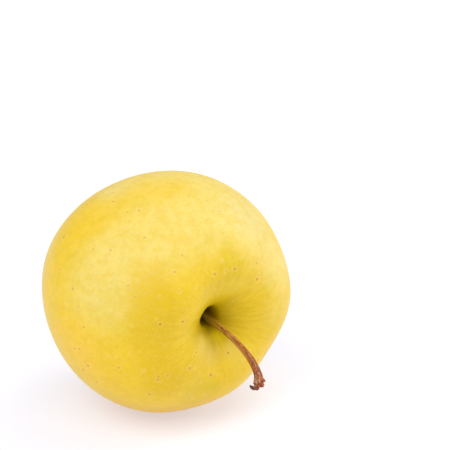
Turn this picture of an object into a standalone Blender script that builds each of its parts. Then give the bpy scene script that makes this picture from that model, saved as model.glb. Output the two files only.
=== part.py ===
"""A whole yellow apple lying on its side: the fruit, its woody stem and the dried calyx.

All sizes are in metres. The fruit, stem and calyx are shaped in the core frame, whose +Z runs
along the core towards the stem and whose origin is the centre of the fruit's girth. They are then
laid down with one matrix, so that the stem end faces -Y and the floor is the plane Z = 0, with
the origin on the floor right under the girth's centre.
"""

import math

import bmesh
import bpy
from mathutils import Matrix, Vector
from mathutils.geometry import interpolate_bezier

# Fruit: the outline from the stem cavity over the shoulder and the girth to the calyx basin
GIRTH_RADIUS = 0.0375
SHOULDER_RADIUS = 0.0168
SHOULDER_HEIGHT = 0.0312
THROAT_RADIUS = 0.0034
THROAT_HEIGHT = 0.0230
CAVITY_RADIUS = 0.0026
CAVITY_FLOOR = 0.0140
BASE_RADIUS = 0.0126
BASE_DEPTH = 0.0356
BASIN_RADIUS = 0.0050
BASIN_FLOOR = 0.0282
TURN_STEPS = 68

# Unevenness of the fruit: waves round the girth as (number, share of the radius, first crest)
GIRTH_WAVES = ((2, 0.021, 0.16), (3, 0.007, 0.30), (4, 0.011, 1.14))
LOBES = 5
BASE_LOBE_SHARE = 0.034
BASE_LOBE_RISE = 0.0009
FIRST_BASE_LOBE = 0.55
SHOULDER_LOBE_SHARE = 0.014
SHOULDER_LOBE_RISE = 0.0006
FIRST_SHOULDER_LOBE = -1.22
SHOULDER_LEAN = 0.0004
LEAN_TOWARDS = 2.2

# Creases that run out of the stem cavity, as (direction, depth, spread)
CREASES = ((-1.70, 0.0005, 0.17), (-1.25, 0.0003, 0.14), (0.80, 0.0004, 0.20), (3.60, 0.0002, 0.25))

# How the fruit lies: the stem end is a little lower than the base, on a small flat spot
CORE_TILT = math.radians(-3.0)
GIRTH_CENTRE_HEIGHT = 0.0363

# Stem: knots of its middle line in the core frame, and its radius at the root, waist and torn tip
STEM_LINE = (
    (0.0, 0.0, 0.0113),
    (0.0, 0.0, 0.0160),
    (0.0003, -0.0008, 0.0220),
    (0.0018, -0.0029, 0.0285),
    (0.0030, -0.0051, 0.0333),
    (0.0038, -0.0083, 0.0392),
    (0.0032, -0.0112, 0.0438),
    (0.0017, -0.0130, 0.0464),
)
STEM_ROOT_RADIUS = 0.00112
STEM_WAIST_RADIUS = 0.00084
STEM_BEND_RADIUS = 0.00108
STEM_TIP_RADIUS = 0.00150
STEM_TIP_FLATNESS = 0.72
STEM_RIBS = 5
STEM_RIB_SHARE = 0.07
STEM_SIDES = 20
STEM_STEPS_PER_KNOT = 5
STEM_WELL_DEPTH = 0.0030
HOOK_LINE = (
    (0.0018, -0.0122, 0.0456),
    (0.0006, -0.0132, 0.0467),
    (-0.0006, -0.0131, 0.0470),
    (-0.0016, -0.0120, 0.0468),
)
HOOK_RADIUS = 0.00090

# Calyx: a cup in its socket with dried sepals round a ring of stamen stubs
SEPALS = 5
SEPAL_ROOT = 0.0020
SEPAL_WIDTH = 0.0030
SEPAL_REACH = 0.0022
SEPAL_RISE = 0.0026
SEPAL_THICKNESS = 0.00045
CALYX_RADIUS = 0.0026
CALYX_WELL_DEPTH = 0.0016

# Touching pieces keep this gap
FIT_GAP = 0.0003


def clear_scene():
    for old in list(bpy.data.objects):
        bpy.data.objects.remove(old)


def smooth_step(value, low, high):
    """0 below low, 1 above high, and an easy rise between them."""
    share = min(1.0, max(0.0, (value - low) / (high - low)))
    return share * share * (3 - 2 * share)


def laid():
    """The matrix from the core frame to the fruit lying on the floor."""
    lying = Matrix.Rotation(math.radians(90) - CORE_TILT, 4, "X")
    return Matrix.Translation((0, 0, GIRTH_CENTRE_HEIGHT)) @ lying


def principled(name, colour, roughness):
    material = bpy.data.materials.new(name)
    material.use_nodes = True
    shader = material.node_tree.nodes["Principled BSDF"]
    shader.inputs["Base Color"].default_value = (*colour, 1)
    shader.inputs["Roughness"].default_value = roughness
    shader.inputs["Metallic"].default_value = 0.0
    return material


def evaluated_mesh(source):
    """The mesh that an object's modifiers make; the object itself is removed."""
    graph = bpy.context.evaluated_depsgraph_get()
    mesh = bpy.data.meshes.new_from_object(source.evaluated_get(graph))
    bpy.data.objects.remove(source)
    return mesh


def placed(name, mesh, material):
    """An object for a mesh of the core frame, laid down with the fruit."""
    mesh.materials.clear()
    mesh.materials.append(material)
    mesh.shade_smooth()
    piece = bpy.data.objects.new(name, mesh)
    piece.matrix_world = laid()
    return piece


def in_collection(pieces, name):
    group = bpy.data.collections.new(name)
    bpy.context.scene.collection.children.link(group)
    for piece in pieces:
        group.objects.link(piece)
    return group


def joined(body, extras, solver="EXACT"):
    """The mesh of a body with its extras fused on by one Boolean union."""
    bpy.context.scene.collection.objects.link(body)
    group = in_collection(extras, body.name + "_extras")
    union = body.modifiers.new("Fuse", "BOOLEAN")
    union.operation = "UNION"
    union.operand_type = "COLLECTION"
    union.collection = group
    union.solver = solver
    mesh = evaluated_mesh(body)
    for extra in extras:
        bpy.data.objects.remove(extra)
    bpy.data.collections.remove(group)
    return mesh


# Fruit


def half_outline():
    """The half outline as bends: each is (start, handle, handle, end, steps) in (radius, height)."""
    well = (STEM_ROOT_RADIUS + FIT_GAP, CAVITY_FLOOR - STEM_WELL_DEPTH)
    well_rim = (well[0], CAVITY_FLOOR)
    throat = (THROAT_RADIUS, THROAT_HEIGHT)
    shoulder = (SHOULDER_RADIUS, SHOULDER_HEIGHT)
    girth = (GIRTH_RADIUS, 0.0)
    base = (BASE_RADIUS, -BASE_DEPTH)
    basin = (BASIN_RADIUS, -BASIN_FLOOR - 0.0008)
    socket_rim = (CALYX_RADIUS + FIT_GAP, -BASIN_FLOOR)
    socket = (socket_rim[0], CALYX_WELL_DEPTH - BASIN_FLOOR)
    return [
        ((0.0, well[1]), (0.0, well[1]), well, well, 1),
        (well, well, well_rim, well_rim, 1),
        (well_rim, (CAVITY_RADIUS, 0.0150), (0.0028, 0.0205), throat, 5),
        (throat, (0.0042, 0.0262), (0.0107, SHOULDER_HEIGHT), shoulder, 12),
        (shoulder, (0.0262, SHOULDER_HEIGHT), (GIRTH_RADIUS, 0.0172), girth, 14),
        (girth, (GIRTH_RADIUS, -0.0215), (0.0188, -BASE_DEPTH), base, 14),
        (base, (0.0091, -BASE_DEPTH), (0.0066, -0.0304), basin, 7),
        (basin, (0.0044, -0.0285), (0.0035, -BASIN_FLOOR), socket_rim, 2),
        (socket_rim, socket_rim, socket, socket, 1),
        (socket, socket, (0.0, socket[1]), (0.0, socket[1]), 1),
    ]


def outline_points():
    """The half outline as (radius, 0, height) points, from the stem cavity to the calyx."""
    points = []
    for *bend, steps in half_outline():
        corners = [Vector((radius, 0, height)) for radius, height in bend]
        points += interpolate_bezier(*corners, steps + 1)[:-1]
    points.append(Vector((0, 0, half_outline()[-1][3][1])))
    return points


def turned_fruit():
    """The outline turned about the core, as a mesh."""
    points = outline_points()
    data = bpy.data.curves.new("fruit_outline", "CURVE")
    data.dimensions = "3D"
    spline = data.splines.new("POLY")
    spline.points.add(len(points) - 1)
    for knot, point in zip(spline.points, points):
        knot.co = (*point, 1)
    guide = bpy.data.objects.new("fruit_outline", data)
    bpy.context.scene.collection.objects.link(guide)
    turn = guide.modifiers.new("Turn", "SCREW")
    turn.axis = "Z"
    turn.steps = turn.render_steps = TURN_STEPS
    turn.use_merge_vertices = True
    turn.merge_threshold = 0.00001
    return evaluated_mesh(guide)


def creased(radius, angle):
    """How deep the creases round the stem cavity are at a place."""
    reach = smooth_step(radius, 0.0030, 0.0065) * (1 - smooth_step(radius, 0.0080, 0.0165))
    depth = 0.0
    for direction, deepest, spread in CREASES:
        turned = math.remainder(angle - direction, math.tau)
        depth += deepest * math.exp(-((turned / spread) ** 2))
    return depth * reach


def grown(point):
    """Where a point of the turned fruit goes on the real, uneven one."""
    radius = math.hypot(point.x, point.y)
    angle = math.atan2(point.y, point.x)
    off_axis = smooth_step(radius, 0.0030, 0.0120)
    up = smooth_step(point.z, 0.3 * SHOULDER_HEIGHT, SHOULDER_HEIGHT)
    down = smooth_step(-point.z, 0.5 * BASE_DEPTH, BASE_DEPTH)
    base_crest = math.cos(LOBES * (angle - FIRST_BASE_LOBE))
    shoulder_crest = math.cos(LOBES * (angle - FIRST_SHOULDER_LOBE))
    share = sum(size * math.cos(count * (angle - first)) for count, size, first in GIRTH_WAVES)
    share += BASE_LOBE_SHARE * down * base_crest + SHOULDER_LOBE_SHARE * up * shoulder_crest
    rise = SHOULDER_LOBE_RISE * up * shoulder_crest - BASE_LOBE_RISE * down * base_crest
    rise += SHOULDER_LEAN * up * math.cos(angle - LEAN_TOWARDS)
    scale = 1 + share * off_axis
    dip = creased(radius, angle) * up
    return Vector((point.x * scale, point.y * scale, point.z + rise * off_axis - dip))


def floor_cutter():
    """A block under the floor, which flattens the spot that the fruit rests on."""
    shape = bmesh.new()
    size = Matrix.Translation((0, 0, -0.01)) @ Matrix.Diagonal((0.08, 0.08, 0.02, 1))
    bmesh.ops.create_cube(shape, size=1, matrix=size)
    mesh = bpy.data.meshes.new("floor_cutter")
    shape.to_mesh(mesh)
    shape.free()
    block = bpy.data.objects.new("floor_cutter", mesh)
    block.hide_render = True
    block.display_type = "WIRE"
    in_collection([block], "cutters")
    return block


def fruit():
    mesh = turned_fruit()
    for vertex in mesh.vertices:
        vertex.co = grown(vertex.co)
    body = placed("fruit", mesh, principled("skin", (0.83, 0.59, 0.11), 0.35))
    rest = body.modifiers.new("Rest spot", "BOOLEAN")
    rest.operation = "DIFFERENCE"
    rest.object = floor_cutter()
    rest.solver = "EXACT"
    return body


# Stem


def smooth_line(knots, steps):
    """Points of a smooth line through the knots, with their shares of the way along it."""
    knots = [Vector(knot) for knot in knots]
    ends = [2 * knots[0] - knots[1], *knots, 2 * knots[-1] - knots[-2]]
    points = [knots[0]]
    for before, start, end, after in zip(ends, ends[1:], ends[2:], ends[3:]):
        handles = (start + (end - before) / 6, end - (after - start) / 6)
        points += interpolate_bezier(start, *handles, end, steps + 1)[1:]
    return points


def rod(name, line, sides, thickness):
    """A closed rod along a line; thickness(share, angle) gives its radius and its push along."""
    shape = bmesh.new()
    rings = len(line) - 1
    bmesh.ops.create_cone(shape, cap_ends=True, segments=sides, radius1=1, radius2=1, depth=rings)
    upright = [edge for edge in shape.edges if abs(edge.verts[0].co.z - edge.verts[1].co.z) > 0.5]
    bmesh.ops.subdivide_edges(shape, edges=upright, cuts=rings - 1, use_grid_fill=True)
    bmesh.ops.poke(shape, faces=[face for face in shape.faces if len(face.verts) > 4])
    for vertex in shape.verts:
        place = round(vertex.co.z + rings / 2)
        tangent = (line[min(place + 1, rings)] - line[max(place - 1, 0)]).normalized()
        side = Vector((1, 0, 0)) - tangent.x * tangent
        side.normalize()
        other = tangent.cross(side)
        reach = math.hypot(vertex.co.x, vertex.co.y)
        angle = math.atan2(vertex.co.y, vertex.co.x)
        wide, deep, push = thickness(place / rings, angle)
        flat = side * (vertex.co.x * wide) + other * (vertex.co.y * deep)
        vertex.co = line[place] + flat + tangent * (push if reach > 0.5 else -push)
    bmesh.ops.recalc_face_normals(shape, faces=shape.faces)
    mesh = bpy.data.meshes.new(name)
    shape.to_mesh(mesh)
    shape.free()
    return bpy.data.objects.new(name, mesh)


def stem_thickness(share, angle):
    """A ribbed rod, thinnest past its middle, that flares at the torn tip."""
    flare = smooth_step(share, 0.80, 1.02)
    radius = STEM_ROOT_RADIUS + (STEM_WAIST_RADIUS - STEM_ROOT_RADIUS) * smooth_step(share, 0.2, 0.48)
    radius += (STEM_BEND_RADIUS - STEM_WAIST_RADIUS) * smooth_step(share, 0.56, 0.82)
    radius += (STEM_TIP_RADIUS - STEM_BEND_RADIUS) * flare
    rib = 1 + STEM_RIB_SHARE * smooth_step(share, 0.15, 0.4) * math.cos(STEM_RIBS * angle + 3 * share)
    flat = 1 + (STEM_TIP_FLATNESS - 1) * flare
    push = 0.00025 * math.cos(3 * angle) if share == 1 else 0.0
    return radius * rib, radius * rib * flat, push


def hook_thickness(share, angle):
    radius = HOOK_RADIUS * (1 - 0.55 * share)
    return radius, radius * 0.8, 0.0


def knob(place, size):
    """A rounded lobe of the torn end."""
    shape = bmesh.new()
    stretch = Matrix.Translation(place) @ Matrix.Diagonal((*size, 1))
    bmesh.ops.create_icosphere(shape, subdivisions=2, radius=1, matrix=stretch)
    mesh = bpy.data.meshes.new("knob")
    shape.to_mesh(mesh)
    shape.free()
    return bpy.data.objects.new("knob", mesh)


def stem():
    shaft = rod("stem", smooth_line(STEM_LINE, STEM_STEPS_PER_KNOT), STEM_SIDES, stem_thickness)
    extras = [
        rod("hook", smooth_line(HOOK_LINE, 3), 10, hook_thickness),
        knob((0.0011, -0.0135, 0.0466), (0.00085, 0.00085, 0.00080)),
        knob((0.0024, -0.0130, 0.0466), (0.00065, 0.00070, 0.00075)),
        knob((0.0031, -0.0123, 0.0462), (0.00085, 0.00070, 0.00080)),
    ]
    return placed("stem", joined(shaft, extras), principled("stem_wood", (0.36, 0.16, 0.07), 0.8))


# Calyx


def sepal(number):
    """One dried sepal: a tapered blade that rises from the cup and curls outwards."""
    shape = bmesh.new()
    bmesh.ops.create_grid(shape, x_segments=7, y_segments=4, size=0.5)
    turn = Matrix.Rotation(math.tau * number / SEPALS + 0.2 * math.sin(2.3 * number), 3, "Z")
    length = 1 + 0.14 * math.cos(1.7 * number)
    for vertex in shape.verts:
        along, across = vertex.co.x + 0.5, vertex.co.y
        width = SEPAL_WIDTH * (0.7 + 0.6 * along) * (1 - 0.9 * along ** 1.6)
        cupped = 0.0022 * (across * 2) ** 2 * along * (1 - 0.7 * along)
        out = SEPAL_ROOT + SEPAL_REACH * along ** 1.5 * length - cupped
        rise = SEPAL_RISE * math.sin(math.radians(118) * along) * length
        place = turn @ Vector((out, across * width, 0))
        vertex.co = Vector((place.x, place.y, -BASIN_FLOOR + 0.0002 - rise))
    mesh = bpy.data.meshes.new("sepal")
    shape.to_mesh(mesh)
    shape.free()
    blade = bpy.data.objects.new("sepal", mesh)
    bpy.context.scene.collection.objects.link(blade)
    thicken = blade.modifiers.new("Thicken", "SOLIDIFY")
    thicken.thickness = SEPAL_THICKNESS
    thicken.offset = 0
    return bpy.data.objects.new("sepal", evaluated_mesh(blade))


def calyx():
    shape = bmesh.new()
    top = -BASIN_FLOOR + CALYX_WELL_DEPTH - FIT_GAP
    bottom = -BASIN_FLOOR - 0.0005
    middle = Matrix.Translation((0, 0, (top + bottom) / 2))
    bmesh.ops.create_cone(
        shape,
        cap_ends=True,
        segments=30,
        radius1=CALYX_RADIUS * 0.92,
        radius2=CALYX_RADIUS,
        depth=top - bottom,
        matrix=middle,
    )
    mesh = bpy.data.meshes.new("cup")
    shape.to_mesh(mesh)
    shape.free()
    cup = bpy.data.objects.new("calyx", mesh)
    sepals = [sepal(number) for number in range(SEPALS)]
    crown = joined(cup, sepals, "MANIFOLD")
    return placed("calyx", crown, principled("dried_calyx", (0.17, 0.10, 0.05), 0.9))


def main():
    clear_scene()
    pieces = [fruit(), stem(), calyx()]
    in_collection(pieces, "apple")


main()
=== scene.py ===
# %% [markdown]
# # A yellow apple lying on its side
# The solid model of the apple is already there: a fruit, a woody stem and a dried calyx, in metres, with
# the floor at Z = 0. This lesson dresses it: a finer skin with its pores and streaks, a fibrous stem with
# a torn end, and papery sepals, then the white table, the soft light and the camera.

# %% Load the solid model
import math

import bmesh
import bpy
import numpy as np
from mathutils import Matrix, Vector, noise
from mathutils.geometry import interpolate_bezier


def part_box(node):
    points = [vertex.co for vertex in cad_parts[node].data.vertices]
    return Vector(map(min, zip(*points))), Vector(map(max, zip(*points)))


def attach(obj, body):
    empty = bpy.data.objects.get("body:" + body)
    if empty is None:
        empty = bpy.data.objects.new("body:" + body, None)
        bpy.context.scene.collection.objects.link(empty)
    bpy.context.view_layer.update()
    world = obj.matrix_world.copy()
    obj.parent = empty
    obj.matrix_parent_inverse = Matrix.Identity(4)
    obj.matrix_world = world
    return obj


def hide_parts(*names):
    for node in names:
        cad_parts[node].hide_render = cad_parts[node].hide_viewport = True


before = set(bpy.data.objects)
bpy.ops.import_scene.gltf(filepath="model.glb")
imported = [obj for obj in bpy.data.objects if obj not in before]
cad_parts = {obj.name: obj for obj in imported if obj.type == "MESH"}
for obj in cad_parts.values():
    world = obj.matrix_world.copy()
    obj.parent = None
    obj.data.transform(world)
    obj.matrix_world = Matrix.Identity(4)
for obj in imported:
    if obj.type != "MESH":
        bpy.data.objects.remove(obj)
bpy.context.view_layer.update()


def in_millimetres(lengths):
    return [round(1000 * length, 1) for length in lengths]


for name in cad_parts:
    low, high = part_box(name)
    print(name, "reaches from", in_millimetres(low), "to", in_millimetres(high), "mm")

# %% [markdown]
# ## How the apple lies
# Everything on the apple is easiest to describe round its own core, so the pieces are shaped in a core
# frame: +Z runs along the core towards the stem. One matrix then lays each piece down on the floor.
# Because each piece keeps that matrix, a material that reads object coordinates also reads them
# round the core, and its streaks can run from stem to calyx.

# %% The core frame
CORE_TILT = math.radians(-3.0)
GIRTH_CENTRE_HEIGHT = 0.0363
FRUIT_CENTRE = Vector((0, 0, GIRTH_CENTRE_HEIGHT))
LYING = Matrix.Rotation(math.radians(90) - CORE_TILT, 4, "X")
LAID = Matrix.Translation(FRUIT_CENTRE) @ LYING
print("the stem end faces", [round(c, 3) for c in LAID.to_3x3() @ Vector((0, 0, 1))])

# %% [markdown]
# ## Helpers for the shapes
# Most of the apple's forms fade into each other, and a smooth step is the usual rule for such a fade. It
# works on one number and on a whole array. Shapes that a modifier makes are turned into plain meshes, and
# one function lays each finished piece down and hides the solid that it replaces.

# %% Fades, finished meshes and laying a piece down
def smooth_step(value, low, high):
    """0 below low, 1 above high, and an easy rise between them."""
    share = np.minimum(np.maximum((value - low) / (high - low), 0), 1)
    return share * share * (3 - 2 * share)


def evaluated_mesh(source):
    """The mesh that an object's modifiers make; the object itself is removed."""
    graph = bpy.context.evaluated_depsgraph_get()
    mesh = bpy.data.meshes.new_from_object(source.evaluated_get(graph))
    bpy.data.objects.remove(source)
    return mesh


def in_scene(name, data):
    """An object with this mesh, curve, lamp or camera, linked to the scene."""
    made = bpy.data.objects.new(name, data)
    bpy.context.scene.collection.objects.link(made)
    return made


def lay_down(name, mesh, node, material):
    """Makes a piece from a mesh of the core frame, lying as the apple does, and hides the solid it
    replaces.
    """
    mesh.materials.append(material)
    mesh.shade_smooth()
    piece = in_scene(name, mesh)
    piece.matrix_world = LAID
    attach(piece, "root")
    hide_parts(node)
    print(name, "has", len(mesh.polygons), "faces")


print("a quarter of the way up a smooth step is", smooth_step(0.25, 0, 1))

# %% [markdown]
# ## Writing materials as sums
# A procedural skin is mostly arithmetic: distances from the core, masks that fade, noise that is added.
# A graph of little Math nodes is hard to read, so a small class wraps one socket and lets Python's own
# operators add the nodes. The reflected forms, such as the one for 1 - mask, let a plain number stand
# first.

# %% A socket that can be reckoned with
class Field:
    """One output socket of a graph of nodes, used like a number."""

    def __init__(self, graph, socket):
        self.graph, self.socket = graph, socket

    def maths(self, operation, *values):
        return self.graph.node("ShaderNodeMath", {"operation": operation}, dict(enumerate(values)))

    def __add__(self, other):
        return self.maths("ADD", self, other)

    def __sub__(self, other):
        return self.maths("SUBTRACT", self, other)

    def __rsub__(self, other):
        return self.maths("SUBTRACT", other, self)

    def __mul__(self, other):
        return self.maths("MULTIPLY", self, other)

    def __truediv__(self, other):
        return self.maths("DIVIDE", self, other)

    def __rtruediv__(self, other):
        return self.maths("DIVIDE", other, self)

    __radd__ = __add__
    __rmul__ = __mul__

    def square_root(self):
        return self.maths("SQRT", self)

    def unsigned(self):
        return self.maths("ABSOLUTE", self)

    def at_least(self, other):
        return self.maths("MAXIMUM", self, other)

    def rise(self, low, high):
        """0 where this is low, 1 where it is high, with a smooth rise; low may be the larger."""
        sockets = {"Value": self, "From Min": low, "From Max": high}
        return self.graph.node("ShaderNodeMapRange", {"interpolation_type": "SMOOTHSTEP"}, sockets)


print("a field can be asked for", [word for word in vars(Field) if not word.startswith("_")])

# %% [markdown]
# ## Every other node
# Noise, colour mixes and ramps come from one method that takes a node's type, its settings and its
# sockets. Settings go first, because some of them change which sockets there are. The methods after it
# only give short names to the few nodes that an apple needs.

# %% A graph of nodes
class Graph:
    """The nodes of a material or of the world."""

    def __init__(self, tree):
        self.tree = tree

    def node(self, kind, settings=None, sockets=None, out=0):
        """Adds a node: its settings first, then the values or links of its sockets."""
        made = self.tree.nodes.new(kind)
        for setting, value in (settings or {}).items():
            if setting == "stops":
                self.set_stops(made.color_ramp.elements, value)
            else:
                setattr(made, setting, value)
        for socket, value in (sockets or {}).items():
            self.feed(made.inputs[socket], value)
        return Field(self, made.outputs[out])

    def set_stops(self, elements, stops):
        for position, _ in stops[2:]:
            elements.new(position)
        for element, (position, colour) in zip(elements, stops):
            element.position, element.color = position, colour

    def feed(self, socket, value):
        if isinstance(value, Field):
            self.tree.links.new(value.socket, socket)
        else:
            socket.default_value = value

    def mix(self, share, plain, full):
        """One colour where share is 0, the other where it is 1."""
        return self.node("ShaderNodeMix", {"data_type": "RGBA"}, {0: share, 6: plain, 7: full}, 2)

    def layered(self, colour, *layers):
        """A colour with others laid over it in turn; each layer is a share and a colour."""
        for share, shade in layers:
            colour = self.mix(share, colour, shade)
        return colour

    def ramp(self, value, stops, reach):
        """A colour that follows a value through stops; reach is the value at the ramp's end."""
        stops = [(stop / reach, shade) for stop, shade in stops]
        return self.node("ShaderNodeValToRGB", {"stops": stops}, {"Fac": value / reach})

    def noise(self, place, grain, detail=2.0, roughness=0.5):
        """Noise from 0 to 1 whose blotches are about one grain across."""
        sockets = {"Vector": place, "Scale": 1 / grain, "Detail": detail, "Roughness": roughness}
        return self.node("ShaderNodeTexNoise", {}, sockets)

    def near(self, place, centre, reach):
        """1 at the centre, falling to 0 at its reach."""
        sockets = {0: place, 1: centre}
        distance = self.node("ShaderNodeVectorMath", {"operation": "DISTANCE"}, sockets, "Value")
        return distance.rise(reach, 0)


print("a graph can be asked for", [word for word in vars(Graph) if not word.startswith("_")])

# %% [markdown]
# ## Finishes and paints
# A finish is a material with such a graph. What is the same all over a surface, such as the gloss of its
# wax, is set on the surface shader itself, and only what changes from place to place is linked to it.
# Paints are given from 0 to 255, as on a paint chart. The renderer reckons in linear light, so each paint
# is converted once, here.

# %% A finish and a paint
class Finish(Graph):
    """A material, with the graph that feeds its surface shader."""

    def __init__(self, name, shader_values):
        self.material = bpy.data.materials.new(name)
        self.material.use_nodes = True
        super().__init__(self.material.node_tree)
        for socket, value in shader_values.items():
            self.surface(socket, value)

    def surface(self, socket, value):
        self.feed(self.tree.nodes["Principled BSDF"].inputs[socket], value)

    def bump(self, height, distance):
        self.surface("Normal", self.node("ShaderNodeBump", {}, {"Height": height, "Distance": distance}))


def paint(red, green_and_shade, blue):
    """A colour as a paint chart gives it, from 0 to 255, as the renderer's linear values."""
    parts = [part / 255 for part in (red, green_and_shade, blue)]
    linear = [p / 12.92 if p <= 0.04045 else ((p + 0.055) / 1.055) ** 2.4 for p in parts]
    return (*linear, 1.0)


print("a mid grey of 188 is", round(paint(188, 188, 188)[0], 2), "in linear values")

# %% [markdown]
# ## The fruit's outline
# An apple is nearly a turned shape, like a pot on a wheel. Half its outline runs from the floor of the
# stem cavity over the shoulder and the girth to the calyx basin. It is drawn as a chain of Bezier bends,
# because a bend keeps its smoothness however finely it is cut. The two small wells hold the feet of the
# stem and of the calyx.

# %% The outline from the stem cavity to the calyx basin
GIRTH_RADIUS = 0.0375
SHOULDER_RADIUS = 0.0168
SHOULDER_HEIGHT = 0.0312
THROAT_RADIUS = 0.0034
THROAT_HEIGHT = 0.0230
CAVITY_RADIUS = 0.0026
CAVITY_FLOOR = 0.0140
WELL_RADIUS = 0.00142
WELL_FLOOR = 0.0110
BASE_RADIUS = 0.0126
BASE_DEPTH = 0.0356
BASIN_RADIUS = 0.0050
BASIN_FLOOR = 0.0282
BASIN_EDGE_DROP = 0.0008
SOCKET_RADIUS = 0.0029
SOCKET_FLOOR = -0.0266

well_middle = (0.0, WELL_FLOOR)
well_edge = (WELL_RADIUS, WELL_FLOOR)
well_rim = (WELL_RADIUS, CAVITY_FLOOR)
throat = (THROAT_RADIUS, THROAT_HEIGHT)
shoulder = (SHOULDER_RADIUS, SHOULDER_HEIGHT)
girth = (GIRTH_RADIUS, 0.0)
base = (BASE_RADIUS, -BASE_DEPTH)
basin = (BASIN_RADIUS, -BASIN_FLOOR - BASIN_EDGE_DROP)
socket_rim = (SOCKET_RADIUS, -BASIN_FLOOR)
socket_edge = (SOCKET_RADIUS, SOCKET_FLOOR)
socket_middle = (0.0, SOCKET_FLOOR)
# Each bend has its start, two handles, its end and its number of steps.
HALF_OUTLINE = (
    (well_middle, well_middle, well_edge, well_edge, 2),
    (well_edge, well_edge, well_rim, well_rim, 2),
    (well_rim, (CAVITY_RADIUS, 0.0150), (0.0028, 0.0205), throat, 20),
    (throat, (0.0042, 0.0262), (0.0107, SHOULDER_HEIGHT), shoulder, 54),
    (shoulder, (0.0262, SHOULDER_HEIGHT), (GIRTH_RADIUS, 0.0172), girth, 64),
    (girth, (GIRTH_RADIUS, -0.0215), (0.0188, -BASE_DEPTH), base, 64),
    (base, (0.0091, -BASE_DEPTH), (0.0066, -0.0304), basin, 26),
    (basin, (0.0044, -0.0285), (0.0035, -BASIN_FLOOR), socket_rim, 6),
    (socket_rim, socket_rim, socket_edge, socket_edge, 2),
    (socket_edge, socket_edge, socket_middle, socket_middle, 2),
)


def outline_points():
    points = []
    for *bend, steps in HALF_OUTLINE:
        corners = [Vector((radius, 0, height)) for radius, height in bend]
        points += interpolate_bezier(*corners, steps + 1)[:-1]
    return points + [Vector((0, 0, SOCKET_FLOOR))]


print("half the outline has", len(outline_points()), "points")

# %% [markdown]
# ## Turning the outline
# A Screw modifier with no rise along its axis spins a curve into a turned shape. It needs no loops over
# faces, and its number of steps is one value. Points that meet on the core are merged.

# %% The turned skin
TURN_STEPS = 300
MERGE_DISTANCE = 0.00001


def turned_skin():
    points = outline_points()
    data = bpy.data.curves.new("skin_outline", "CURVE")
    data.dimensions = "3D"
    spline = data.splines.new("POLY")
    spline.points.add(len(points) - 1)
    for knot, point in zip(spline.points, points):
        knot.co = (*point, 1)
    guide = in_scene("skin_outline", data)
    turn = guide.modifiers.new("Turn", "SCREW")
    turn.axis = "Z"
    turn.steps = turn.render_steps = TURN_STEPS
    turn.use_merge_vertices = True
    turn.merge_threshold = MERGE_DISTANCE
    return evaluated_mesh(guide)


skin_mesh = turned_skin()
print("the turned skin has", len(skin_mesh.vertices), "points")

# %% [markdown]
# ## Lobes and creases
# Real fruit grows unevenly: its girth is a little oval, five lobes swell at the calyx end and show
# faintly at the shoulder, and creases run out of the stem cavity. Sculpting would do it too, but waves
# round the core are easier to steer and to repeat. The solid has the same lobes with fewer faces, so the
# finer skin lies right on it. Last, the few points below the floor are pressed flat, as a rest spot.

# %% Where the fruit swells and creases
# A wave is how often it comes round, its share of the radius and where its first crest is.
GIRTH_WAVES = ((2, 0.021, 0.16), (3, 0.007, 0.30), (4, 0.011, 1.14))
LOBES = 5
BASE_LOBE_SHARE = 0.034
BASE_LOBE_RISE = 0.0009
FIRST_BASE_LOBE = 0.55
SHOULDER_LOBE_SHARE = 0.014
SHOULDER_LOBE_RISE = 0.0006
FIRST_SHOULDER_LOBE = -1.22
SHOULDER_LEAN = 0.0004
LEAN_TOWARDS = 2.2
OFF_CORE = (0.0030, 0.0120)
# A crease is its direction round the core, its depth and how wide it spreads.
CREASES = (
    (-1.70, 0.0005, 0.17),
    (-1.25, 0.0001, 0.14),
    (0.80, 0.0004, 0.20),
    (3.60, 0.0002, 0.25),
)
CREASE_START = (0.0030, 0.0065)
CREASE_END = (0.0080, 0.0165)


def creased(radius, angle):
    """How deep the creases round the stem cavity are at each place."""
    reach = smooth_step(radius, *CREASE_START) * (1 - smooth_step(radius, *CREASE_END))
    depth = 0.0
    for direction, deepest, spread in CREASES:
        turned = np.remainder(angle - direction + math.pi, math.tau) - math.pi
        depth = depth + deepest * np.exp(-((turned / spread) ** 2))
    return depth * reach


def grow(points):
    """Moves the points of the turned skin to where they are on the uneven fruit."""
    x, y, z = points.T
    radius, angle = np.hypot(x, y), np.arctan2(y, x)
    off_core = smooth_step(radius, *OFF_CORE)
    up = smooth_step(z, 0.3 * SHOULDER_HEIGHT, SHOULDER_HEIGHT)
    down = smooth_step(-z, 0.5 * BASE_DEPTH, BASE_DEPTH)
    base_crest = np.cos(LOBES * (angle - FIRST_BASE_LOBE))
    shoulder_crest = np.cos(LOBES * (angle - FIRST_SHOULDER_LOBE))
    share = sum(size * np.cos(count * (angle - first)) for count, size, first in GIRTH_WAVES)
    share = share + BASE_LOBE_SHARE * down * base_crest + SHOULDER_LOBE_SHARE * up * shoulder_crest
    rise = SHOULDER_LOBE_RISE * up * shoulder_crest - BASE_LOBE_RISE * down * base_crest
    rise = rise + SHOULDER_LEAN * up * np.cos(angle - LEAN_TOWARDS)
    scale = 1 + share * off_core
    return np.stack([x * scale, y * scale, z + rise * off_core - creased(radius, angle) * up], 1)


def flatten_rest_spot(points):
    """Presses the few points under the floor up onto it."""
    place = np.array(LAID)
    laid = points @ place[:3, :3].T + place[:3, 3]
    laid[:, 2] = np.maximum(laid[:, 2], 0.0)
    return (laid - place[:3, 3]) @ place[:3, :3]


points = np.empty(len(skin_mesh.vertices) * 3)
skin_mesh.vertices.foreach_get("co", points)
grown = flatten_rest_spot(grow(points.reshape(-1, 3)))
skin_mesh.vertices.foreach_set("co", grown.ravel())
print("the fruit is", in_millimetres(np.ptp(grown, axis=0)), "mm across and long")

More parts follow.
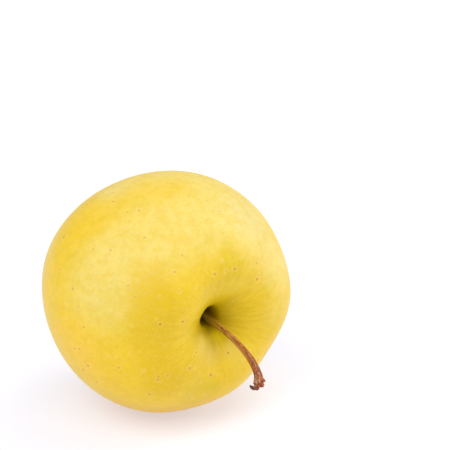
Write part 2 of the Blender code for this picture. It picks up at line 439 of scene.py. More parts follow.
# %% [markdown]
# ## Where a point is on the skin
# Apple skin is marked round its core, so its material first works out, in millimetres, how far a point
# is from the core and how far round and down the fruit it lies. Noise that is read in those coordinates
# comes out as streaks from stem to calyx. An unwrapped image would need seams. This needs none, and a
# closer look only brings more detail.

# %% Millimetres round the core
# The streaks are read on a ball of about the fruit's size.
BALL_RADIUS = 37
STREAK_STRETCH = 0.55
CLOSEST_TO_CORE = 0.1
STEM_END = (2.0, 22.0)

skin = Finish("apple_skin", {"Roughness": 0.40, "IOR": 1.40, "Specular IOR Level": 0.3})
place = skin.node("ShaderNodeTexCoord", out="Object")
place = skin.node("ShaderNodeVectorMath", {"operation": "SCALE"}, {"Vector": place, "Scale": 1000.0})
parts = skin.node("ShaderNodeSeparateXYZ", {}, {"Vector": place}).socket.node.outputs
across, upright, along = (Field(skin, part) for part in parts)
radius = (across * across + upright * upright).square_root().at_least(CLOSEST_TO_CORE)
angle = upright.maths("ARCTAN2", upright, across)
from_stem = radius.maths("ARCTAN2", radius, along) * BALL_RADIUS
streak_place = skin.node("ShaderNodeCombineXYZ", {}, {
    "X": across / radius * BALL_RADIUS,
    "Y": upright / radius * BALL_RADIUS,
    "Z": from_stem * STREAK_STRETCH,
})
stem_end = along.rise(*STEM_END)
print("the skin's place on the fruit takes", len(skin.tree.nodes), "nodes")

# %% [markdown]
# ## The skin's colours
# Ripe yellow skin is never one colour. This one is painted pale where a broad soft sheen falls, a painted
# sheen; it is deeper gold in patches round the stem end, greener round the stem, darker low on the front
# and on the underside, which is painted shade, and tan at the calyx end. Painting each of these by hand on
# an image would be slow to change. Here a place is a centre and a reach in millimetres, and its mask is 1
# in the middle and fades to 0 at the reach.

# %% Paints and the places where they lie
GOLD = paint(239, 200, 36)
SHEEN_PALE = paint(235, 216, 126)
CREAM = paint(241, 208, 126)
HIGHLIGHT_LEMON = paint(228, 217, 160)
DEEP_GOLD = paint(227, 185, 4)
GREEN_YELLOW = paint(217, 190, 18)
UNDERSIDE_SHADE_GOLD = paint(232, 181, 44)
BASE_TAN = paint(228, 192, 86)
WARM_GOLD = paint(252, 203, 66)
VALLEY_SHADE_GOLD = paint(206, 176, 70)
# Places of painted sheen: the skin is paler where a broad soft sheen falls.
PAINTED_SHEEN_PLACES = (
    ((-31, 16, 16), 24),
    ((-14, 29, 19), 23),
    ((10, 29, 21), 24),
    ((14, 32, 12), 18),
    ((4, 36, -6), 17),
    ((-13, 33, -8), 12),
    ((33, 12, 6), 16),
    ((22, 13, 27), 14),
)
GOLDEN_PLACES = (
    ((-23, 6, 28), 13),
    ((-22, 17, 25), 11),
    ((-22, 10, 28), 9),
    ((-24, -1, 29), 9),
    ((-20, -10, 29), 12),
    ((-18, -16, 28), 8),
    ((12, 2, 29), 8),
)
# Greener places; the third, low on the front, is painted shade that darkens the lower front.
GREEN_AND_SHADE_PLACES = (
    ((-24, 5, 29), 11),
    ((2, 19, 31), 9),
    ((-6, -22, 27), 12),
    ((26, -20, -12), 16),
)


def all_near(places, full):
    """A mask over several places; it is 1 where their masks add up to full."""
    return sum(skin.near(place, centre, reach) for centre, reach in places).rise(0.0, full)


painted_sheen = all_near(PAINTED_SHEEN_PLACES, 0.9)
golden = all_near(GOLDEN_PLACES, 1.0)
green_and_shade = all_near(GREEN_AND_SHADE_PLACES, 0.9)
print("the skin has", len(PAINTED_SHEEN_PLACES), "sunny places and", len(GOLDEN_PLACES), "golden ones")

# %% [markdown]
# ## Mottle
# Close up, the skin is a weave of paler and deeper dots, because its cells ripen one by one. Four noises
# of different grain stand for it: broad patches, soft clouds, a fine mottle and streaks. A noise mostly
# stays between 0.3 and 0.7, so a rise that starts or ends near 0.5 catches about half of the skin.

# %% The skin away from the cavity
PATCH_GREEN_SHARE = 0.25
GREEN_AND_SHADE_SHARE = 0.45
GOLDEN_SHARE = 0.60
# Painted shade: a darker gold on the underside, where less light reaches it.
UNDERSIDE_SHADE_RANGE = (-20.0, -34.0)
UNDERSIDE_SHADE_SHARE = 0.7
CALYX_END = (-8.0, -20.0)
CALYX_END_SHARE = 0.45
CLOUD_SHARE = 0.32
CREAM_DOT_SHARE = 0.17
GOLD_DOT_SHARE = 0.34
# A soft touch is a centre, a reach, the share at the centre and a colour. The lemon and pale touches are
# painted sheen and highlight, the dull gold one above the hole is painted shade, and the warm gold one is
# a tone of the skin.
SHEEN_SHADE_AND_TONE_TOUCHES = (
    ((14, 28, 21), 17, 0.50, HIGHLIGHT_LEMON),
    ((20, 1, 31), 9, 0.34, SHEEN_PALE),
    ((-17, 32, 0), 14, 0.22, SHEEN_PALE),
    ((-5, 36, 2), 11, 0.30, SHEEN_PALE),
    ((-35, -9, 9), 17, 0.55, WARM_GOLD),
    ((-1, 11, 31), 9, 0.36, VALLEY_SHADE_GOLD),
)


def touches(table):
    """Layers for a table of soft touches."""
    return [(skin.near(place, centre, reach) * share, shade) for centre, reach, share, shade in table]


patches = skin.noise(place, 8.0)
clouds = skin.noise(place, 2.8, 2.0, 0.6)
mottle = skin.noise(place, 0.75, 2.0, 0.55)
streaks = skin.noise(streak_place, 1.9, 3.0, 0.6)
colour = skin.layered(
    GOLD,
    # Painted sheen.
    (painted_sheen * (0.7 + 0.3 * patches), SHEEN_PALE),
    # Greener patches, with painted shade low on the front.
    (patches.rise(0.42, 0.68) * PATCH_GREEN_SHARE + green_and_shade * GREEN_AND_SHADE_SHARE, GREEN_YELLOW),
    (golden * GOLDEN_SHARE, DEEP_GOLD),
    *touches(SHEEN_SHADE_AND_TONE_TOUCHES),
    # Painted shade on the underside.
    (upright.rise(*UNDERSIDE_SHADE_RANGE) * UNDERSIDE_SHADE_SHARE, UNDERSIDE_SHADE_GOLD),
    (along.rise(*CALYX_END) * CALYX_END_SHARE, BASE_TAN),
    (clouds.rise(0.60, 0.32) * CLOUD_SHARE, DEEP_GOLD),
    (mottle.rise(0.42, 0.70) * CREAM_DOT_SHARE, CREAM),
    (mottle.rise(0.58, 0.36) * painted_sheen * GOLD_DOT_SHARE, GOLD),
)
print("with its mottle the skin has", len(skin.tree.nodes), "nodes")

# %% [markdown]
# ## Round the stem cavity
# Towards the stem the skin turns a stronger greenish gold, and at the bottom of the hole it is brown and
# darkened further by painted shade. The colour of the wall follows the distance from the core through a
# ramp. Fine streaks run out of the hole, painted light lies on two ridges between the creases, painted
# olive shade lies in the creases and on the lip below the stem, and two touches of painted light brighten
# the wall below the stem. Those follow the direction round the core, which the distance alone can't give.

# %% The wall, its streaks, ridges and creases
# The first colour is painted shade for the creases and the lip.
CREASE_SHADE_OLIVE = paint(144, 124, 0)
STREAK_OLIVE = paint(184, 154, 0)
RIDGE_GOLD = paint(245, 213, 84)
# Painted light for the wall just below the stem's root.
LIP_LIGHT_GOLD = paint(242, 214, 0)
WALL_END = 14.0
# The first, darkest stops are partly the cavity's own brown and partly painted shade deep in the hole.
WALL_AND_SHADE_STOPS = (
    (0.0, paint(70, 40, 18)),
    (2.6, paint(96, 64, 14)),
    (2.9, paint(178, 142, 14)),
    (3.4, paint(204, 173, 0)),
    (5.0, paint(206, 176, 0)),
    (8.0, paint(220, 185, 4)),
    (WALL_END, paint(237, 203, 28)),
)
# A ridge is its direction, its spread, its share and the radii where it starts and ends.
# Painted light: the wall is made paler along two ridges between the creases.
PAINTED_LIGHT_RIDGES = ((-2.38, 0.58, 0.86, 4.4, 14.0), (-1.15, 0.48, 0.85, 6.4, 18.0))
RIDGE_FADE_IN = 2.6
RIDGE_FADE_OUT = 0.55
# A shade is its direction, its spread and its share.
# Painted shade: olive on the lip below the stem and in the creases.
LIP_SHADE = (-1.72, 0.50, 0.50)
CREASE_SHADES = ((-1.68, 0.26, 0.12), (0.95, 0.50, 0.14), (-2.75, 0.20, 0.12))
# Painted light: touches that brighten the wall below the stem.
CAVITY_LIGHT_TOUCHES = (
    ((2.0, -5.2, 26.2), 3.8, 0.78, LIP_LIGHT_GOLD),
    ((-2.3, -10.3, 28.7), 5.5, 0.30, CREAM),
)
# A zone has two soft edges. An edge is the radius where the zone is 0, then the one where it is 1.
WALL_EDGE = (16.0, 6.5)
NEAR_STEM = ((26.0, 8.0), (2.8, 4.0))
BESIDE_HOLE = ((3.2, 4.6), (11.0, 6.0))
ON_LIP = ((3.0, 3.6), (6.0, 4.0))


def zone(one_edge, other_edge):
    """1 between two edges round the stem, and 0 outside them and away from the stem end."""
    return radius.rise(*one_edge) * radius.rise(*other_edge) * stem_end


def towards(direction, spread):
    """1 in one direction round the core, fading to 0 at its spread."""
    return (angle - direction).unsigned().rise(spread, 0)


# Painted light along one ridge.
def ridge(direction, spread, share, start, end):
    body = zone((start, start + RIDGE_FADE_IN), (end, RIDGE_FADE_OUT * end))
    return body * towards(direction, spread) * share, RIDGE_GOLD


# Painted olive shade in one direction round the core.
def olive_painted_shade(where, direction, spread, share):
    return towards(direction, spread) * where * share, CREASE_SHADE_OLIVE


near_stem, beside_hole, on_lip = zone(*NEAR_STEM), zone(*BESIDE_HOLE), zone(*ON_LIP)
# The streaks are faint all over the fruit and strong near the stem.
colour = skin.layered(
    colour,
    (radius.rise(*WALL_EDGE) * stem_end, skin.ramp(radius, WALL_AND_SHADE_STOPS, WALL_END)),
    (streaks.rise(0.48, 0.74) * (0.05 + 0.22 * near_stem), STREAK_OLIVE),
    (streaks.rise(0.50, 0.28) * (0.06 + 0.30 * near_stem), RIDGE_GOLD),
    *(ridge(*values) for values in PAINTED_LIGHT_RIDGES),
    olive_painted_shade(on_lip, *LIP_SHADE),
    *(olive_painted_shade(beside_hole, *values) for values in CREASE_SHADES),
    *touches(CAVITY_LIGHT_TOUCHES),
)
print("the cavity has", len(PAINTED_LIGHT_RIDGES), "pale ridges and", len(CREASE_SHADES), "shaded creases")

# %% [markdown]
# ## Pores
# Apples breathe through pores: tiny brown specks in pale rings, and some of the rings are empty. Voronoi
# cells give each pore a place of its own with room round it, which plain noise can't. The random colour
# of a cell says whether its pore shows and how large it is. There are none close to the stem. The skin's
# relief is in the bump alone, because it is far finer than any face, and the wax is a soft gloss.

# %% Specks and their rings
PORE_BROWN = paint(194, 116, 36)
PORE_RING = paint(248, 218, 130)
PORE_SPACING = 3.0
SMALLEST_PORE = 0.7
PORE_SIZE_RANGE = 0.6
FIRST_PORES = (5.0, 9.0)
RING_EDGE = (1.05, 0.45)
SPECK_EDGE = (0.58, 0.20)
# A cell's draw, from 0 to 1, decides on its ring and its speck.
DRAWS_WITH_RING = (0.2, 0.5)
DRAWS_WITH_SPECK = (0.48, 0.70)
RING_SHARE = 0.22
SPECK_SHARE = 0.64
# Specks fade where the painted sheen lies.
SPECK_SHARE_LOST_IN_SHEEN = 0.30
SKIN_RELIEF = 0.00008

pore_cells = {"Vector": place, "Scale": 1 / PORE_SPACING}
pore_distance = skin.node("ShaderNodeTexVoronoi", {}, pore_cells, "Distance") * PORE_SPACING
pore_draw = skin.node("ShaderNodeTexVoronoi", {}, pore_cells, "Color")
pore_pick = skin.node("ShaderNodeSeparateColor", {}, {"Color": pore_draw}, "Red")
pore_size = skin.node("ShaderNodeSeparateColor", {}, {"Color": pore_draw}, "Green")
pore_distance = pore_distance / (pore_size * PORE_SIZE_RANGE + SMALLEST_PORE)
pore_pick = pore_pick * radius.rise(*FIRST_PORES)
ring = pore_distance.rise(*RING_EDGE) * pore_pick.rise(*DRAWS_WITH_RING)
speck = pore_distance.rise(*SPECK_EDGE) * pore_pick.rise(*DRAWS_WITH_SPECK)
colour = skin.layered(
    colour,
    (ring * RING_SHARE, PORE_RING),
    (speck * (SPECK_SHARE - SPECK_SHARE_LOST_IN_SHEEN * painted_sheen), PORE_BROWN),
)
skin.surface("Base Color", colour)
relief = mottle * 0.5 + clouds * 0.4 - speck * 0.35 + ring * 0.2 + streaks * stem_end * 0.6
skin.bump(relief, SKIN_RELIEF)
lay_down("fruit_skin", skin_mesh, "fruit", skin.material)

# %% [markdown]
# ## The stem's line
# The stem is a woody rod that bends down as it leaves the cavity. A few knots say where its middle runs.
# The line through them takes its direction at each knot from the knots before and after it, so that it
# has no corners.

# %% A smooth line through knots
STEM_KNOTS = (
    (0.0, 0.0, 0.0113),
    (0.0, 0.0, 0.0160),
    (0.0003, -0.0008, 0.0220),
    (0.0018, -0.0029, 0.0285),
    (0.0030, -0.0051, 0.0333),
    (0.0038, -0.0083, 0.0392),
    (0.0032, -0.0112, 0.0438),
    (0.0017, -0.0130, 0.0464),
)


def smooth_line(knots, steps):
    """Points of a smooth line through the knots."""
    knots = [Vector(knot) for knot in knots]
    ends = [2 * knots[0] - knots[1], *knots, 2 * knots[-1] - knots[-2]]
    points = [knots[0]]
    for before, start, end, after in zip(ends, ends[1:], ends[2:], ends[3:]):
        handles = (start + (end - before) / 6, end - (after - start) / 6)
        points += interpolate_bezier(start, *handles, end, steps + 1)[1:]
    return points


stem_line = smooth_line(STEM_KNOTS, steps=20)
stem_length = sum((end - start).length for start, end in zip(stem_line, stem_line[1:]))
print("the stem is", round(1000 * stem_length, 1), "mm long")

# %% [markdown]
# ## A rod along a line
# A curve with a bevel would be smooth and round. Bark isn't, so a cylinder's rings are carried along the
# line instead, and a rule says how thick the rod is at each point of each ring. Every point also keeps
# how far along the stem it is and where it is round it, because the bark's colours need both.

# %% A rod, and one mesh from several shapes
INWARD_CAP_STEP = 0.0001


def with_marks(shape):
    """The two layers that keep how far along the stem a point is, and where it is round it."""
    layers = shape.verts.layers.float
    return layers.new("along"), layers.new("around")


def rod(line, sides, thickness, span=(0.0, 1.0)):
    """A closed rod along a line; thickness(share, angle) gives its radii and its push along."""
    shape = bmesh.new()
    rings = len(line) - 1
    bmesh.ops.create_cone(shape, cap_ends=True, segments=sides, radius1=1, radius2=1, depth=rings)
    lengthways = [edge for edge in shape.edges if abs(edge.verts[0].co.z - edge.verts[1].co.z) > 0.5]
    bmesh.ops.subdivide_edges(shape, edges=lengthways, cuts=rings - 1, use_grid_fill=True)
    bmesh.ops.poke(shape, faces=[face for face in shape.faces if len(face.verts) > 4])
    along, around = with_marks(shape)
    for vertex in shape.verts:
        ring = round(vertex.co.z + rings / 2)
        tangent = (line[min(ring + 1, rings)] - line[max(ring - 1, 0)]).normalized()
        side = (Vector((1, 0, 0)) - tangent.x * tangent).normalized()
        other = tangent.cross(side)
        on_rim = math.hypot(vertex.co.x, vertex.co.y) > 0.5
        angle = math.atan2(vertex.co.y, vertex.co.x)
        wide, deep, push = thickness(ring / rings, angle)
        vertex[along] = span[0] + (span[1] - span[0]) * ring / rings
        vertex[around] = angle
        flat = side * (vertex.co.x * wide) + other * (vertex.co.y * deep)
        vertex.co = line[ring] + flat + tangent * (push if on_rim else -abs(push) - INWARD_CAP_STEP)
    bmesh.ops.recalc_face_normals(shape, faces=shape.faces)
    return shape


def merged(shapes):
    """One mesh from several shapes."""
    whole = bmesh.new()
    with_marks(whole)
    for shape in shapes:
        part = bpy.data.meshes.new("part")
        shape.to_mesh(part)
        shape.free()
        whole.from_mesh(part)
        bpy.data.meshes.remove(part)
    mesh = bpy.data.meshes.new("merged")
    whole.to_mesh(mesh)
    whole.free()
    return mesh


print("a rod along the stem's line has", len(stem_line), "rings")

# %% [markdown]
# ## The stem's furrows
# The stem is stout at its root, thin in the middle, and flares flat where it was torn off. Drying bark
# shrinks into furrows that wander round the stem, so each of them is a wave round the rod whose crests
# drift along it. They deepen at the flare. Like a sum of a few tones, a few waves look irregular enough.

# %% How thick the stem is
ROOT_RADIUS = 0.00112
WAIST_RADIUS = 0.00084
BEND_RADIUS = 0.00108
TIP_RADIUS = 0.00150
TIP_FLATNESS = 0.72
TO_WAIST = (0.2, 0.48)
TO_BEND = (0.56, 0.82)
TO_TIP = (0.80, 1.02)
ROUGH_FROM = (0.12, 0.3)
RIB_DEPTH = 0.07
# A furrow is its count, its depth, its added depth at the flare, its drift and its first crest.
FURROWS = ((11, 0.030, 0.045, 0, 1.3), (17, 0.022, 0.040, 5, 0), (27, 0.018, 0, -9, 0))
# A wander is how far, in radians, the furrows turn to and fro, and how often they do along the stem.
WANDERS = ((0.8, 3.1), (0.25, 9.0))
KNOT_DEPTH = 0.03
TORN_PUSH = 0.00035


def stem_thickness(share, angle):
    flare = smooth_step(share, *TO_TIP)
    radius = ROOT_RADIUS + (WAIST_RADIUS - ROOT_RADIUS) * smooth_step(share, *TO_WAIST)
    radius += (BEND_RADIUS - WAIST_RADIUS) * smooth_step(share, *TO_BEND)
    radius += (TIP_RADIUS - BEND_RADIUS) * flare
    twist = angle
    for turned, pace in WANDERS:
        twist += turned * math.sin(pace * share)
    bark = RIB_DEPTH * math.cos(5 * angle + 3 * share)
    for count, depth, at_flare, drift, first in FURROWS:
        bark += (depth + at_flare * flare) * math.cos(count * twist + drift * share + first)
    bark += KNOT_DEPTH * math.sin(38 * share + 2 * angle) * math.sin(17 * share)
    rough = 1 + smooth_step(share, *ROUGH_FROM) * bark
    flat = 1 + (TIP_FLATNESS - 1) * flare
    push = TORN_PUSH * (math.cos(3 * angle) + 0.6 * math.cos(8 * angle + 1)) if share == 1 else 0.0
    return radius * rough, radius * rough * flat, push


stem_rod = rod(stem_line, sides=56, thickness=stem_thickness)
print("the stem's rod has", len(stem_rod.faces), "faces")

# %% [markdown]
# ## The torn end
# Where the stem was torn from its twig, a hook of bark curls back, fibres stick out as splinters, and
# the wood swells into small lobes. The hook and the splinters are rods again, which thin towards their
# tips. The lobes are little spheres, pushed in and out by noise so that none is round.

# %% A hook, lobes and splinters
HOOK_KNOTS = (
    (0.0018, -0.0122, 0.0456),
    (0.0008, -0.0133, 0.0466),
    (-0.0005, -0.0131, 0.0469),
    (-0.0014, -0.0125, 0.0469),
    (-0.0019, -0.0120, 0.0468),
)
HOOK_SPAN = (1.05, 1.45)
SPLINTERS = (
    ((0.0020, -0.0126, 0.0460), (0.00205, -0.0135, 0.0470)),
    ((0.0029, -0.0119, 0.0459), (0.0036, -0.0123, 0.0467)),
    ((0.0010, -0.0126, 0.0461), (0.0002, -0.0138, 0.0473)),
)
SPLINTER_SPAN = (0.98, 1.30)
SPLINTER_BOW = Vector((0.0002, 0.0001, 0.0001))
TORN_FLATNESS = 0.8
# A lobe is its middle, its three radii and the seed of its noise.
WOOD_LOBES = (
    ((0.0008, -0.0135, 0.0464), (0.00085, 0.00085, 0.00080), 1.0),
    ((0.0024, -0.0130, 0.0466), (0.00065, 0.00070, 0.00075), 2.0),
    ((0.0029, -0.0119, 0.0460), (0.00085, 0.00070, 0.00080), 3.0),
)
LUMP_SIZE = 0.30
LUMP_GRAIN = 2.1


def tapering(root, thinning, power, ridges, ridge_depth, drift, push):
    """A rule for a rod that thins from its root's radius towards its tip and has a few ridges."""

    def thickness(share, angle):
        ridged = 1 + ridge_depth * math.cos(ridges * angle + drift * share)
        radius = root * (1 - thinning * share ** power) * ridged
        return radius, radius * TORN_FLATNESS, push

    return thickness


hook_thickness = tapering(0.00084, 0.76, 1.6, ridges=5, ridge_depth=0.08, drift=4, push=0.00005)
splinter_thickness = tapering(0.00045, 0.6, 1, ridges=3, ridge_depth=0.12, drift=5, push=0.00002)


def splinter(start, end):
    middle = (Vector(start) + Vector(end)) / 2 + SPLINTER_BOW
    return rod(smooth_line((start, middle, end), steps=5), 12, splinter_thickness, SPLINTER_SPAN)


def wood_lobe(middle, radii, seed):
    """A rounded, uneven lobe of the torn end."""
    shape = bmesh.new()
    bmesh.ops.create_icosphere(shape, subdivisions=4, radius=1)
    along, around = with_marks(shape)
    for vertex in shape.verts:
        lump = 1 + LUMP_SIZE * noise.noise(vertex.co * LUMP_GRAIN + Vector((seed, 0, 0)))
        vertex[along] = 1.04 + 0.05 * lump
        vertex[around] = math.atan2(vertex.co.y, vertex.co.x)
        vertex.co = Vector(middle) + Vector(c * size * lump for c, size in zip(vertex.co, radii))
    return shape


hook = rod(smooth_line(HOOK_KNOTS, steps=8), 24, hook_thickness, HOOK_SPAN)
stem_shapes = [stem_rod, hook]
stem_shapes += [wood_lobe(*values) for values in WOOD_LOBES]
stem_shapes += [splinter(*ends) for ends in SPLINTERS]
print("the stem is made of", len(stem_shapes), "shapes")
stem_mesh = merged(stem_shapes)

# %% [markdown]
# ## Bark
# Near the fruit the stem is still olive and gold. Further out it dries to a reddish brown, and the torn
# end shows pale fibres between dark ones. A ramp follows how far along a point is. The material knows
# where a point is round the stem as well, so stripes of another colour can run along one side of it, and
# a painted highlight and painted shade lie along its upper and lower sides.

# %% The bark's ground colour and stripes
BARK_END = 1.5
BARK_STOPS = (
    (0.28, paint(132, 104, 6)),
    (0.37, paint(168, 130, 6)),
    (0.45, paint(186, 134, 12)),
    (0.53, paint(182, 114, 26)),
    (0.62, paint(178, 104, 34)),
    (0.76, paint(160, 90, 34)),
    (0.87, paint(154, 86, 46)),
    (0.93, paint(178, 112, 74)),
    (1.00, paint(194, 128, 94)),
    (1.08, paint(206, 108, 50)),
    (1.20, paint(140, 64, 40)),
    (1.32, paint(60, 26, 26)),
)
# Painted highlight for the stem's upper side.
HIGHLIGHT_EDGE = paint(226, 164, 66)
OLIVE_STRIPE = paint(186, 140, 34)
RED_STRIPE = paint(150, 70, 26)
# Painted shade for its lower side.
SHADY_EDGE = paint(104, 56, 6)
# The stem's sides that the stripes, painted highlight and painted shade run along, in degrees round it.
HIGHLIGHT_SIDE = 62
RED_SIDE = 115
OLIVE_SIDE = 176
SHADY_SIDE = -136
FIBRE_STRETCH = 7

bark = Finish("stem_bark", {"Roughness": 0.68, "IOR": 1.4, "Specular IOR Level": 0.35})
share = bark.node("ShaderNodeAttribute", {"attribute_name": "along"}, {}, "Fac")
turn = bark.node("ShaderNodeAttribute", {"attribute_name": "around"}, {}, "Fac")
sideways, endways = turn.maths("COSINE", turn), turn.maths("SINE", turn)
bark_sockets = {"X": sideways, "Y": endways, "Z": share * FIBRE_STRETCH}
bark_place = bark.node("ShaderNodeCombineXYZ", {}, bark_sockets)
fibres = bark.noise(bark_place, 0.42, 3.0, 0.65)


def facing(direction):
    """1 on the side of the stem that faces a direction round it, in degrees, and -1 behind it."""
    turned = math.radians(direction)
    return sideways * math.cos(turned) + endways * math.sin(turned)


# The bright edge is a painted highlight and the shady edge painted shade; the olive and red stripes are the
# bark's own.
bright = facing(HIGHLIGHT_SIDE).rise(0.55, 0.90) * share.rise(0.33, 0.41) * share.rise(0.62, 0.48)
olive = facing(OLIVE_SIDE).rise(0.78, 0.94) * share.rise(0.32, 0.42) * share.rise(0.80, 0.6)
red = facing(RED_SIDE).rise(0.70, 0.95) * fibres.rise(0.56, 0.42) * share.rise(0.38, 0.46)
shady = facing(SHADY_SIDE).rise(0.62, 0.86) * share.rise(0.34, 0.46)
colour = bark.layered(
    bark.ramp(share, BARK_STOPS, BARK_END),
    (bright * 0.8, HIGHLIGHT_EDGE),
    (olive * 0.7, OLIVE_STRIPE),
    (red * 0.6, RED_STRIPE),
    (shady * 0.75, SHADY_EDGE),
)
print("the bark's colour passes", len(BARK_STOPS), "stops from the cavity to the hook")

# %% [markdown]
# ## Fibres
# Bark splits into long fibres. Noise whose blotches are stretched along the stem draws them: a coarse one
# for the strands and a fine one for the hairs between. Fresh bark has gold and olive fibres, dried bark
# has pale and dark ones, and the torn end is frayed, so they are strongest there.

# %% The bark's fibres and spots
PALE_FIBRE = paint(240, 190, 156)
GOLD_FIBRE = paint(222, 176, 72)
DARK_FIBRE = paint(76, 32, 18)
OLIVE_FIBRE = paint(84, 60, 6)
DRIED_OUT = (0.40, 0.56)
FRAYED_FROM = (0.72, 0.98)
TORN_FROM = (1.02, 1.08)
SPOT_GRAIN = 0.0006
SPOTS_FROM = (0.28, 0.34)
BARK_RELIEF = 0.00036

hairs = bark.noise(bark_place, 0.2, 1.0)
spots = bark.noise(bark.node("ShaderNodeTexCoord", out="Object"), SPOT_GRAIN, 2.0, 0.6)
frayed = share.rise(*FRAYED_FROM) * (1 - share.rise(*TORN_FROM) * 0.6)
dried_out = share.rise(*DRIED_OUT)
pale_fibre = bark.mix(dried_out, GOLD_FIBRE, PALE_FIBRE)
dark_fibre = bark.mix(dried_out, OLIVE_FIBRE, DARK_FIBRE)
colour = bark.layered(
    colour,
    (fibres.rise(0.52, 0.64) * (0.26 + 0.54 * frayed), pale_fibre),
    (fibres.rise(0.48, 0.36) * (0.42 + 0.40 * frayed), dark_fibre),
    (hairs.rise(0.56, 0.68) * (0.12 + 0.36 * frayed), pale_fibre),
    (hairs.rise(0.44, 0.32) * (0.16 + 0.40 * frayed), dark_fibre),
    (spots.rise(0.57, 0.66) * share.rise(*SPOTS_FROM) * 0.75, DARK_FIBRE),
)
bark.surface("Base Color", colour)
bark.bump(fibres * (0.5 + frayed) + spots * 0.3, BARK_RELIEF)
lay_down("stem_bark", stem_mesh, "stem", bark.material)

# %% [markdown]
# ## The sepals
# At the other end the flower's five sepals are still there, dried and curled in the basin. A sepal is a
# thin blade, so it is a grid, bent by a rule and thickened with Solidify: its width swells and then
# closes to a point, its middle is cupped, and its tip rises and curls out. A ripple makes it papery.

# %% A dried sepal
SEPALS = 5
SEPAL_ROOT = 0.0020
SEPAL_WIDTH = 0.0030
SEPAL_REACH = 0.0022
SEPAL_RISE = 0.0026
SEPAL_THICKNESS = 0.00035
SEPAL_LIFT = 0.0002
SEPAL_CUPPING = 0.0022
SEPAL_CURL = math.radians(118)
SEPAL_RIPPLE = 0.00016


def sepal(number):
    shape = bmesh.new()
    bmesh.ops.create_grid(shape, x_segments=28, y_segments=16, size=0.5)
    turn = Matrix.Rotation(math.tau * number / SEPALS + 0.2 * math.sin(2.3 * number), 3, "Z")
    length = 1 + 0.14 * math.cos(1.7 * number)
    for vertex in shape.verts:
        along, across = vertex.co.x + 0.5, vertex.co.y
        width = SEPAL_WIDTH * (0.7 + 0.6 * along) * (1 - 0.9 * along ** 1.6)
        cupped = SEPAL_CUPPING * (across * 2) ** 2 * along * (1 - 0.7 * along)
        out = SEPAL_ROOT + SEPAL_REACH * along ** 1.5 * length - cupped
        rise = SEPAL_RISE * math.sin(SEPAL_CURL * along) * length
        crumple = noise.noise(Vector((along * 3.0, across * 5.0, number * 3.1)))
        ripple = SEPAL_RIPPLE * along * crumple
        place = turn @ Vector((out + ripple, across * width, 0))
        place.z = -BASIN_FLOOR + SEPAL_LIFT - rise + 2 * ripple
        vertex.co = place
    mesh = bpy.data.meshes.new("sepal")
    shape.to_mesh(mesh)
    shape.free()
    blade = in_scene("sepal", mesh)
    thicken = blade.modifiers.new("Thicken", "SOLIDIFY")
    thicken.thickness = SEPAL_THICKNESS
    thicken.offset = 0
    made = bmesh.new()
    made.from_mesh(evaluated_mesh(blade))
    return made


sepals = [sepal(number) for number in range(SEPALS)]
print("the sepals have", sum(len(blade.faces) for blade in sepals), "faces")

# %% [markdown]
# ## The cup and the stamens
# The sepals stand on the rim of a small cup that fills the socket in the basin, and a tuft of withered
# stamens is left in it. The cup is a plain cone, as only its rim shows. A stamen is one more rod, with a
# swollen end, and each leans its own way. Their numbers set their places, so every run gives the same.

# %% A cup full of stamens
CUP_RADIUS = 0.0026
CUP_FOOT_SHARE = 0.92
CUP_HEIGHT = 0.0018
CUP_DROP = 0.0004
STAMENS = 16
STAMEN_TURN = 2.4
STAMEN_LEAN = 0.0005
FIRST_STAMEN_CIRCLE = 0.0005
STAMEN_CIRCLES_REACH = 0.0009
SHORTEST_STAMEN = 0.0014
STAMEN_GROWTH = 0.0004
STAMEN_RADIUS = 0.00009
STAMEN_SWELLING = 0.00012
SWOLLEN_FROM = (0.75, 0.95)


def cup():
    shape = bmesh.new()
    middle = Matrix.Translation((0, 0, -BASIN_FLOOR + CUP_DROP))
    radii = {"radius1": CUP_RADIUS * CUP_FOOT_SHARE, "radius2": CUP_RADIUS}
    bmesh.ops.create_cone(shape, cap_ends=True, segments=60, depth=CUP_HEIGHT, matrix=middle, **radii)
    return shape


def stamen_thickness(share, angle):
    radius = STAMEN_RADIUS + STAMEN_SWELLING * smooth_step(share, *SWOLLEN_FROM)
    return radius, radius, 0.00003


def stamen(number):
    """A withered thread with a swollen end, standing in the cup."""
    angle = STAMEN_TURN * number
    reach = FIRST_STAMEN_CIRCLE + STAMEN_CIRCLES_REACH * ((number * 7) % 5) / 4
    foot = Vector((reach * math.cos(angle), reach * math.sin(angle), -BASIN_FLOOR))
    lean = Vector((math.cos(angle + 0.6), math.sin(angle + 0.6), 0)) * STAMEN_LEAN
    top = foot + lean + Vector((0, 0, -SHORTEST_STAMEN - STAMEN_GROWTH * ((number * 3) % 4) / 3))
    line = smooth_line((foot, (foot + top) / 2 + 0.3 * lean, top), steps=4)
    return rod(line, 8, stamen_thickness)


calyx_mesh = merged([cup(), *sepals, *(stamen(number) for number in range(STAMENS))])
print("the calyx mesh has", len(calyx_mesh.vertices), "points")

# %% [markdown]
# ## Dried sepals
# Dead sepals are dull brown with paler veins and no gloss. One flat brown would look like plastic, so
# blotches mix two browns, a finer noise draws the veins, and the same noise lifts them a little.

# %% The calyx's finish
CALYX_BROWN = paint(78, 56, 34)
CALYX_TAN = paint(128, 98, 62)
CALYX_VEIN = paint(150, 124, 84)
VEIN_GRAIN = 0.0006
BLOTCH_GRAIN = 0.0018
VEIN_SHARE = 0.7
VEIN_RELIEF = 0.00015

